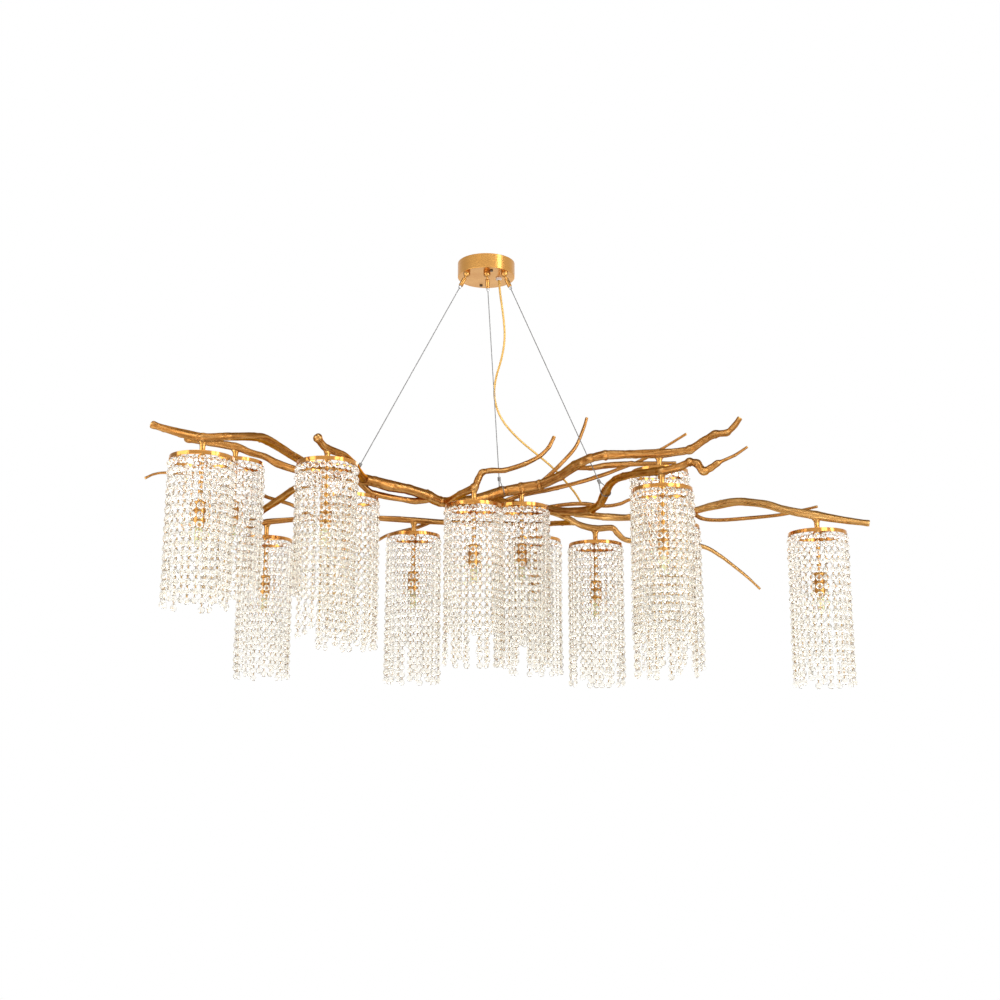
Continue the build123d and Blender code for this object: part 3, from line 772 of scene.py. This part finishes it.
limbs = {name: Limb(name, row, seed) for seed, (name, row) in enumerate(LIMBS.items(), 1)}
twigs = [Limb(name, row, seed) for seed, (name, row) in enumerate(TWIGS.items(), 40)]
for limb_name, limb in limbs.items():
    limb_piece(limb_name, [limb])
limb_piece("side_twigs", twigs)


# Shades


def bead_template():
    """A cut octagon in the XZ plane, thick along Y: table, two rows of facets, and the edge."""
    points, faces = [], []

    def octagon(radius, depth, turn):
        start = len(points)
        for k in range(8):
            angle = math.radians(45 * k + turn)
            points.append(Vector((radius * math.cos(angle), depth, radius * math.sin(angle))))
        return start

    rows = []
    for sign in (-1, 1):
        table = octagon(BEAD_TABLE_R, sign * BEAD_HALF_T, 22.5)
        middle = octagon(BEAD_MID_R, sign * BEAD_MID_T, 0)
        edge = octagon(BEAD_R, sign * BEAD_EDGE_T, 22.5)
        rows.append(edge)
        made = [tuple(range(table, table + 8))]
        for k in range(8):
            after = (k + 1) % 8
            made.append((table + k, middle + after, table + after))
            made.append((table + k, middle + k, middle + after))
            made.append((middle + k, edge + k, middle + after))
            made.append((edge + k, edge + after, middle + after))
        faces.extend(made if sign < 0 else [tuple(reversed(face)) for face in made])
    return points, faces + quads(*rows, 8, flip=True)


def link_template():
    """A small wire ring in the YZ plane."""
    points, faces = [], []
    for turn in range(LINK_TURNS):
        a = 2 * math.pi * turn / LINK_TURNS
        for k in range(LINK_SIDES):
            b = 2 * math.pi * k / LINK_SIDES
            reach = LINK_R + LINK_WIRE_R * math.cos(b)
            depth, height = reach * math.cos(a) * LINK_NARROW, reach * math.sin(a)
            points.append(Vector((LINK_WIRE_R * math.sin(b), depth, height)))
    for turn in range(LINK_TURNS):
        start, end = turn * LINK_SIDES, (turn + 1) % LINK_TURNS * LINK_SIDES
        faces += quads(start, end, LINK_SIDES, flip=True)
    return points, faces


BEAD = bead_template()
LINK = link_template()


def strand_lengths(node, axis):
    """How many beads each strand of a CAD curtain has, by its lowest point."""
    lowest = [axis.z] * STRANDS
    for vertex in frame["nodes"][node].data.vertices:
        angle = math.atan2(axis.x - vertex.co.x, vertex.co.y - axis.y)
        index = round(angle / (2 * math.pi) * STRANDS) % STRANDS
        lowest[index] = min(lowest[index], vertex.co.z)
    return [round((axis.z - RING_H - low) / BEAD_PITCH) for low in lowest]


def bead_curtain(shade, axis):
    """All strands of one shade: the beads as one piece, their wire links as another."""
    number = shade[-2:]
    rng = random.Random(int(number) * 101)
    beads, links = Shape(), Shape()
    radius = RING_R - RING_WALL / 2
    for index, count in enumerate(strand_lengths(f"beads_{number}", axis)):
        angle = 2 * math.pi * index / STRANDS
        turn = angle + rng.uniform(-STRAND_TWIST, STRAND_TWIST)
        sway = Vector((rng.uniform(-1, 1), rng.uniform(-1, 1), 0)) * STRAND_SWAY
        x, y = axis.x - radius * math.sin(angle), axis.y + radius * math.cos(angle)
        top = Vector((x, y, axis.z - RING_H))
        for k in range(count):
            drop = (k + 0.5) * BEAD_PITCH
            place = top + sway * (k / count) ** 1.5 - Vector((0, 0, drop))
            spin = Matrix.Rotation(turn + rng.uniform(-BEAD_TWIST, BEAD_TWIST), 3, "Z")
            beads.add([place + spin @ point for point in BEAD[0]], BEAD[1])
            joint = place + Vector((0, 0, BEAD_PITCH / 2))
            links.add([joint + spin @ point for point in LINK[0]], LINK[1])
    curtain = beads.piece(f"bead_curtain_{number}", CUT_GLASS, "bead_glass", shade)
    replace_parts(curtain, f"beads_{number}")
    links.piece(f"bead_links_{number}", LINK_GOLD, "gold_metal", shade, sharp=60)


def strap_turn(node, axis):
    """The direction of a CAD ring's strap, from its corners, which lie on the band's inside."""
    double_x = double_y = 0.0
    for vertex in frame["nodes"][node].data.vertices:
        x, y = vertex.co.x - axis.x, vertex.co.y - axis.y
        on_strap = abs(vertex.co.z - axis.z + STRAP_T) < 0.1 * MM
        if on_strap and math.hypot(x, y) > 2 * HUB_R:
            double = 2 * math.atan2(y, x)
            double_x += math.cos(double)
            double_y += math.sin(double)
    return math.atan2(double_y, double_x) / 2


def strap(shape, axis, turn):
    """A flat bar with softened edges, across the ring from wall to wall."""
    soft = 0.5 * MM
    half_w, top, low = STRAP_W / 2, axis.z, axis.z - STRAP_T
    outline = (
        (-half_w, low + soft), (soft - half_w, low), (half_w - soft, low), (half_w, low + soft),
        (half_w, top - soft), (half_w - soft, top), (soft - half_w, top), (-half_w, top - soft),
    )
    count = len(outline)
    points = []
    for end in (RING_WALL / 2 - RING_R, RING_R - RING_WALL / 2):
        for across, height in outline:
            x = end * math.cos(turn) - across * math.sin(turn)
            y = end * math.sin(turn) + across * math.cos(turn)
            points.append((axis.x + x, axis.y + y, height))
    caps = [tuple(reversed(range(count))), tuple(range(count, 2 * count))]
    shape.add(points, quads(0, count, count) + caps)


def ring_piece(shade, axis):
    """Band with rolled edges, strap and hub."""
    number = shade[-2:]
    soft = 0.5 * MM
    top, low = axis.z, axis.z - RING_H
    outer, inner = RING_R, RING_R - RING_WALL
    bore = ROD_R + RUNNING_GAP
    hub_top, hub_low = top + HUB_PROUD, top - STRAP_T - HUB_PROUD
    shape = Shape()
    shape.turned(
        (
            (outer - soft, top), (outer - 0.3 * soft, top - 0.3 * soft), (outer, top - soft),
            (outer, low + soft), (outer - 0.3 * soft, low + 0.3 * soft), (outer - soft, low),
            (inner + soft, low), (inner, low + soft), (inner, top - soft), (inner + soft, top),
        ),
        axis, RING_SIDES, closed=True,
    )
    strap(shape, axis, strap_turn(f"ring_{number}", axis))
    shape.turned(
        (
            (HUB_R - soft, hub_top), (HUB_R, top - soft), (HUB_R, hub_low + soft),
            (HUB_R - soft, hub_low), (bore, hub_low), (bore, hub_top),
        ),
        axis, HUB_SIDES, closed=True,
    )
    piece = shape.piece(f"ring_band_{number}", RING_GOLD, "gold_metal", shade, sharp=15)
    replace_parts(piece, f"ring_{number}")


def hanger(axis):
    """Where a stem meets a limb: the nearest point of any limb's run, its direction and radius."""
    best = None
    for limb in limbs.values():
        for index, spot in enumerate(limb.spots):
            away = math.hypot(spot.x - axis.x, spot.y - axis.y)
            if best is None or away < best[0]:
                best = (away, spot, limb.way(index), limb.radii[index])
    return best[1:]


def add_stem(shape, axis):
    """Spreads along the limb at its top; below it, a shoulder over the ring and the lamp's rod."""
    spot, way, radius = hanger(axis)
    under = spot.z - radius
    shoulder_low = axis.z + RUNNING_GAP
    shoulder_top = shoulder_low + SHOULDER_T
    flare = (
        (11.5, 5.6, radius / MM - 2), (10.2, 5.6, 1.6), (8.0, 6.0, -0.8), (6.6, 5.8, -3.2),
        (5.8, 5.6, -6.2),
    )
    rows = [(reach * MM, side * MM, under + rise * MM) for reach, side, rise in flare]
    soft = 0.6 * MM
    rows += [
        (STEM_R, under - 9 * MM), (STEM_R, shoulder_top + 2 * soft),
        (STEM_R + soft, shoulder_top + soft / 2), (SHOULDER_R - soft, shoulder_top),
        (SHOULDER_R, shoulder_top - soft), (SHOULDER_R, shoulder_low + soft),
        (SHOULDER_R - soft, shoulder_low), (ROD_R, shoulder_low),
        (ROD_R, axis.z - ROD_BELOW_RING - ROD_IN_HOLDER),
    ]
    shape.turned(rows, axis, STEM_SIDES, side=way)


def add_holder(shape, axis):
    """Turned cup with a collar, a ribbed waist and a rolled lip; its recess takes the bulb."""
    top = axis.z - ROD_BELOW_RING
    low = top - HOLDER_H
    soft, rib = 0.8 * MM, 1.2 * MM
    rows = [
        (ROD_R + soft, top + soft), (HOLDER_R - 3 * soft, top), (HOLDER_R - soft, top - soft),
        (HOLDER_R, top - 2.5 * soft), (HOLDER_R, top - 9 * MM),
    ]
    height = top - 10 * MM
    for _ in range(HOLDER_RIBS):
        rows += [(HOLDER_R - soft, height), (HOLDER_R - soft, height - rib)]
        rows += [(HOLDER_R, height - 1.5 * rib), (HOLDER_R, height - 2.3 * rib)]
        height -= 2.6 * rib
    mouth = BULB_R + RUNNING_GAP
    rows += [
        (HOLDER_R - soft / 2, height), (HOLDER_R - soft / 2, low + 5 * MM),
        (HOLDER_R, low + 4 * MM), (HOLDER_R, low + soft), (HOLDER_R - soft, low),
        (mouth + soft, low), (mouth, low + soft),
        (mouth, low + HOLDER_RECESS), (0.4 * MM, low + HOLDER_RECESS),
    ]
    shape.turned(rows, axis, HOLDER_SIDES)


def add_bulb(shape, axis):
    """Capsule with a drawn-in foot, a domed end and the small tip where its tube was sealed."""
    mouth = axis.z - ROD_BELOW_RING - HOLDER_H
    low = mouth - BULB_OUT
    foot = BULB_FOOT_SHARE * BULB_R
    rows = [(foot, mouth + HOLDER_RECESS), (foot, mouth + 1 * MM), (BULB_R, mouth - 2 * MM)]
    for k in range(9):
        angle = math.pi / 2 * k / 9
        rows.append((BULB_R * math.cos(angle), low + 1.5 * MM + BULB_R * (1 - math.sin(angle))))
    rows += [(1.4 * MM, low + 1.4 * MM), (0.9 * MM, low + 0.3 * MM), (0.3 * MM, low)]
    shape.turned(rows, axis, BULB_SIDES)


stems, holders, bulbs = Shape(), Shape(), Shape()
for joint in frame["joints"]:
    if joint["child"].startswith("shade_"):
        # The joint gives the shade's axis and the top of its ring
        shade_axis = Vector(joint["pos_m"])
        bead_curtain(joint["child"], shade_axis)
        ring_piece(joint["child"], shade_axis)
        add_stem(stems, shade_axis)
        add_holder(holders, shade_axis)
        add_bulb(bulbs, shade_axis)
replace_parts(stems.piece("stems_turned", TURNED_GOLD, "gold_metal", "frame", sharp=35), "stems")
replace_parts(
    holders.piece("lamp_holders_turned", TURNED_GOLD, "gold_metal", "frame", sharp=40),
    "lamp_holders",
)
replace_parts(bulbs.piece("bulbs_blown", BULB_GLASS, "bulb_glass", "frame", sharp=50), "bulbs")


# Power cord


def cord_line():
    """Points along the cord: a NURBS spline with the route's points as its control points."""
    curve = bpy.data.curves.new("cord_line", "CURVE")
    curve.dimensions = "3D"
    curve.resolution_u = 10
    spline = curve.splines.new("NURBS")
    spline.points.add(len(CORD_ROUTE) - 1)
    for point, spot in zip(spline.points, CORD_ROUTE):
        point.co = (*(Vector(spot) * MM), 1)
    spline.order_u = 3
    spline.use_endpoint_u = True
    line = bpy.data.objects.new("cord_line", curve)
    mesh = bpy.data.meshes.new_from_object(line)
    path = [vertex.co.copy() for vertex in mesh.vertices]
    bpy.data.objects.remove(line)
    bpy.data.curves.remove(curve)
    bpy.data.meshes.remove(mesh)
    return path


def power_cord():
    """Hangs from the gland to the cord twig."""
    path = cord_line()
    shape = Shape()
    shape.tube(path, CORD_R, CORD_SIDES)
    cord = shape.piece("power_cord_sheathed", AMBER, "amber_cord", sharp=50)
    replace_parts(cord, "power_cord")
    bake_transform(cord)


def cord_gland():
    """Domed bush in the canopy's floor, closing round the cord."""
    axis = Vector(CORD_ROUTE[0]) * MM
    box_low, box_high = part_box("cord_gland")
    edge = 1 * MM
    dome = []
    for k in range(1, 8):
        angle = math.pi / 2 * k / 8
        radius = CORD_R + (GLAND_FLANGE_R - CORD_R) * math.cos(angle)
        dome.append((radius, CANOPY_FLOOR - edge - (GLAND_FLANGE_T - edge) * math.sin(angle)))
    shape = Shape()
    shape.turned(
        (
            (GLAND_R, box_high[2]), (GLAND_R, CANOPY_FLOOR), (GLAND_FLANGE_R, CANOPY_FLOOR),
            (GLAND_FLANGE_R, CANOPY_FLOOR - edge), *dome,
            (CORD_R, box_low[2]), (CORD_R, box_high[2]),
        ),
        axis, GLAND_SIDES, closed=True,
    )
    piece = shape.piece("cord_gland_moulded", BLUSH_NYLON, "white_nylon", "ceiling", sharp=40)
    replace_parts(piece, "cord_gland")


power_cord()
cord_gland()


# Swivel grippers under the canopy


def add_cup(shape, ball):
    """Turned cup screwed to the canopy: a foot, a groove, and a lip drawn in round the ball."""
    hollow = BALL_R + RUNNING_GAP
    rows = [(radius * MM, ball.z + height * MM) for radius, height in CUP_OUTSIDE]
    for k in range(8):
        angle = math.radians(-30 + 15 * k)
        rows.append((hollow * math.cos(angle), ball.z + hollow * math.sin(angle)))
    shape.turned(rows, ball, GRIPPER_SIDES)


def add_gripper(shape, ball, way):
    """Ball, neck and a barrel with grooves, bored for the release sleeve."""
    rows = [(0.3 * MM, BALL_R)]
    for k in range(1, 12):
        angle = math.radians(-90 + 14 * k)
        rows.append((BALL_R * math.cos(angle), -BALL_R * math.sin(angle)))
    rows += [(radius * MM, -distance * MM) for radius, distance in BARREL]
    shape.lathe(rows, ball, -way, GRIPPER_SIDES)


def swivel_grippers():
    """One cup and one gripper for each wire; the sleeves' joints give the wires' directions."""
    ways = {joint["child"]: Vector(joint["axis"]) for joint in frame["joints"]}
    cups, grippers = Shape(), Shape()
    for side, x in GRIPPERS.items():
        ball = Vector((x * MM, SWING_Y, SWING_Z))
        add_cup(cups, ball)
        add_gripper(grippers, ball, -ways[f"release_{side}"])
    piece = cups.piece("swivel_cups_turned", TURNED_GOLD, "gold_metal", "ceiling", sharp=40)
    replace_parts(piece, "swivel_cups")
    piece = grippers.piece("gripper_bodies_turned", TURNED_GOLD, "gold_metal", "frame", sharp=40)
    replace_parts(piece, "gripper_bodies")


swivel_grippers()


# Materials of the CAD nodes that stay in view
FINISHES = {
    "canopy_shell": CANOPY_GOLD,
    "canopy_screws": DARK_METAL,
    "ceiling_plate": ZINC,
    "terminal_block": WHITE_NYLON,
    **{f"collet_{side}": BRIGHT_STEEL for side in GRIPPERS},
    "suspension_wires": STEEL_WIRE,
    "wire_studs": STEEL_WIRE,
    "hub_nuts": TURNED_GOLD,
}
for node_name, finish in FINISHES.items():
    mesh = frame["nodes"][node_name].data
    mesh.materials.clear()
    mesh.materials.append(finish)


# Room


FLOOR_SIZE = 9.0
FLOOR_HEIGHT = -2.4
FLOOR_WHITE = ((0.0, 1.0), (0.5, 0.8))
SHADOW_REACH = 3.2

# The room's level by direction, as (height or way to the right, level) pairs: dim overhead, dim at
# the far left unless above, and the band near the horizon that metal mirrors as white
OVERHEAD = ((0.25, 0.85), (0.85, 0.28))
FAR_LEFT = ((-0.92, 0.30), (-0.50, 1.0))
ABOVE = ((0.25, 0.0), (0.31, 1.0))
HORIZON = ((0.20, 1.0), (0.50, 0.0))

# Softboxes: place, point they face, size and power
SOFTBOXES = {
    "strip": ((2.1, -1.5, 0.35), (0, 0, -0.4), (0.40, 1.9), 19),
    "front": ((0.0, -1.8, 1.6), (0, 0, -0.5), (2.8, 0.55), 20),
    "right": ((1.10, -1.70, -0.30), (0.6, 0, -0.57), (0.6, 0.8), 6),
    "left": ((-1.35, -0.95, -0.10), (0.6, 0, -0.57), (0.9, 0.8), 6),
    "low": ((-0.9, -2.2, -1.7), (0, 0, -0.55), (1.6, 0.8), 14),
    "top": ((-0.6, -0.2, 1.9), (0, 0, -0.5), (1.6, 1.2), 6),
    "back": ((0.3, 2.4, 0.4), (0, 0, -0.5), (2.0, 0.8), 10),
}


def combine(tree, operation, first, second):
    node = tree.nodes.new("ShaderNodeMath")
    node.operation = operation
    tree.links.new(first, node.inputs[0])
    tree.links.new(second, node.inputs[1])
    return node.outputs[0]


def is_any(tree, *kinds):
    """One or more for rays of any of these kinds."""
    path = tree.nodes.new("ShaderNodeLightPath")
    found = path.outputs[kinds[0]]
    for kind in kinds[1:]:
        found = combine(tree, "MAXIMUM", found, path.outputs[kind])
    return found


def pale_floor():
    """Pale paint that takes the shadow, and looks white, wholly so towards the floor's edge."""
    s = Shader("pale_floor")
    s.put(Base_Color=(0.90, 0.90, 0.89, 1), Roughness=0.9)
    glow = s.add("ShaderNodeEmission")
    glow.inputs["Strength"].default_value = 1.0
    middle = s.add("ShaderNodeTexGradient", gradient_type="SPHERICAL")
    s.join(s.coordinates((1 / SHADOW_REACH, 1 / SHADOW_REACH, 0)), middle.inputs["Vector"])
    seen = is_any(s.tree, "Is Camera Ray", "Is Glossy Ray", "Is Transmission Ray")
    share = combine(s.tree, "MULTIPLY", seen, s.ramp(middle.outputs["Fac"], *FLOOR_WHITE))
    mix = s.add("ShaderNodeMixShader")
    s.join(share, mix.inputs[0])
    s.join(s.bsdf.outputs[0], mix.inputs[1])
    s.join(glow.outputs[0], mix.inputs[2])
    s.join(mix.outputs[0], s.tree.nodes["Material Output"].inputs["Surface"])
    return s.material


def build_floor():
    corners = ((-1, -1), (1, -1), (1, 1), (-1, 1))
    points = [(x * FLOOR_SIZE, y * FLOOR_SIZE, FLOOR_HEIGHT) for x, y in corners]
    mesh = bpy.data.meshes.new("floor")
    mesh.from_pydata(points, [], [(0, 1, 2, 3)])
    mesh.materials.append(pale_floor())
    floor = bpy.data.objects.new("floor", mesh)
    bpy.context.scene.collection.objects.link(floor)


def fade(tree, source, *ends):
    """A smooth change of a value, from one (value, level) pair to the other."""
    node = tree.nodes.new("ShaderNodeMapRange")
    node.interpolation_type = "SMOOTHSTEP"
    for name, (value, level) in zip(("Min", "Max"), ends):
        node.inputs[f"From {name}"].default_value = value
        node.inputs[f"To {name}"].default_value = level
    tree.links.new(source, node.inputs["Value"])
    return node.outputs[0]


def build_world():
    """Soft light, dimmer overhead and at the far left; white to the camera and through glass, and
    near the horizon to the metal that mirrors it."""
    world = bpy.data.worlds.new("studio")
    bpy.context.scene.world = world
    world.use_nodes = True
    tree = world.node_tree
    soft = tree.nodes["Background"]
    soft.inputs["Color"].default_value = (0.97, 0.97, 1.0, 1)
    way = tree.nodes.new("ShaderNodeSeparateXYZ")
    tree.links.new(tree.nodes.new("ShaderNodeTexCoord").outputs["Generated"], way.inputs[0])
    overhead = fade(tree, way.outputs["Z"], *OVERHEAD)
    left = fade(tree, way.outputs["X"], *FAR_LEFT)
    above = fade(tree, way.outputs["Z"], *ABOVE)
    level = combine(tree, "MULTIPLY", overhead, combine(tree, "MAXIMUM", left, above))
    tree.links.new(level, soft.inputs["Strength"])
    white = tree.nodes.new("ShaderNodeBackground")
    white.inputs["Color"].default_value = (1, 1, 1, 1)
    white.inputs["Strength"].default_value = 1.0
    mix = tree.nodes.new("ShaderNodeMixShader")
    seen = is_any(tree, "Is Camera Ray", "Is Transmission Ray", "Transmission Depth")
    horizon = combine(tree, "MULTIPLY", left, fade(tree, way.outputs["Z"], *HORIZON))
    mirrored = combine(tree, "MULTIPLY", is_any(tree, "Is Glossy Ray"), horizon)
    tree.links.new(combine(tree, "MAXIMUM", seen, mirrored), mix.inputs[0])
    tree.links.new(soft.outputs[0], mix.inputs[1])
    tree.links.new(white.outputs[0], mix.inputs[2])
    tree.links.new(mix.outputs[0], tree.nodes["World Output"].inputs["Surface"])


def softbox(name, place, target, size, power):
    """A soft rectangular lamp that the camera doesn't see."""
    lamp = bpy.data.lights.new(name, "AREA")
    lamp.shape = "RECTANGLE"
    lamp.size, lamp.size_y = size
    lamp.energy = power
    box = bpy.data.objects.new(name, lamp)
    box.location = place
    box.rotation_mode = "QUATERNION"
    box.rotation_quaternion = (Vector(target) - Vector(place)).to_track_quat("-Z", "Y")
    box.visible_camera = False
    bpy.context.scene.collection.objects.link(box)


build_floor()
build_world()
for lamp_name, lamp in SOFTBOXES.items():
    softbox(lamp_name, *lamp)

camera = bpy.data.objects.new("camera", bpy.data.cameras.new("camera"))
camera.data.lens = CAMERA_LENS
camera.data.sensor_width = SENSOR
camera.location = CAMERA_PLACE
camera.rotation_euler = (math.radians(90 + CAMERA_PITCH), 0, 0)
bpy.context.scene.collection.objects.link(camera)
bpy.context.scene.camera = camera
bpy.context.scene.view_settings.view_transform = "Standard"
